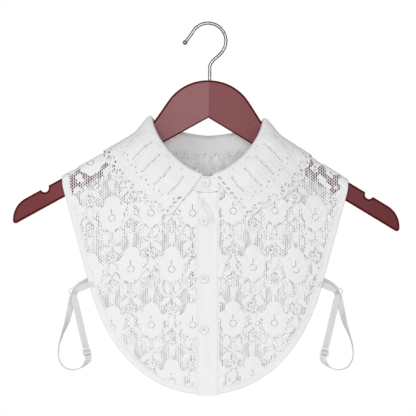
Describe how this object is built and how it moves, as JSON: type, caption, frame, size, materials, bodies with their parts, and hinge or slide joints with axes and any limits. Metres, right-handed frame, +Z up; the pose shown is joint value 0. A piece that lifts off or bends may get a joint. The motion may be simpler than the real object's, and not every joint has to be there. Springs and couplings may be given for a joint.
{
  "type": "detachable lace collar on a clothes hanger",
  "caption": "Detachable lace false collar with eyelet collar, buttoned front, bound edges and elastic side straps, hung on a flat wooden hanger with a wire hook.",
  "frame": {"origin": "inner top of the hanger's hook, where a rail touches it, in the hanger's middle plane", "axes": "+Z up; +X along the hanger to the viewer's right; -Y out of the buttoned front, towards the viewer"},
  "size_m": [0.4451, 0.0919, 0.4293],
  "materials": {
    "lace": "white floral net lace, matt with a slight sheen",
    "collar_lace": "white chemical lace with cut-outs and scalloped edge",
    "cotton": "plain white woven cotton, pressed",
    "elastic": "white ribbed strap elastic",
    "button": "white moulded resin, soft gloss",
    "fitting": "milky white coated ring and slider",
    "wood_left": "mahogany red stain, satin lacquer",
    "wood_right": "mahogany red stain, satin lacquer",
    "wire": "bright chromed steel wire"
  },
  "bodies": {
    "root": {"front_panel_left": "lace", "front_panel_right": "lace", "back_panel": "lace", "collar_left": "collar_lace", "collar_right": "collar_lace", "collar_stand": "cotton", "button_band": "cotton", "binding_left": "cotton", "binding_right": "cotton", "strap_elastic_left": "elastic", "strap_elastic_right": "elastic", "strap_tab_left": "elastic", "strap_tab_right": "elastic", "button_neck": "button", "button_top": "button", "button_middle": "button", "button_low": "button", "strap_ring_left": "fitting", "strap_ring_right": "fitting", "strap_slider_left": "fitting", "strap_slider_right": "fitting", "hanger_arm_left": "wood_left", "hanger_arm_right": "wood_right", "hanger_hook": "wire"}
  },
  "joints": []
}
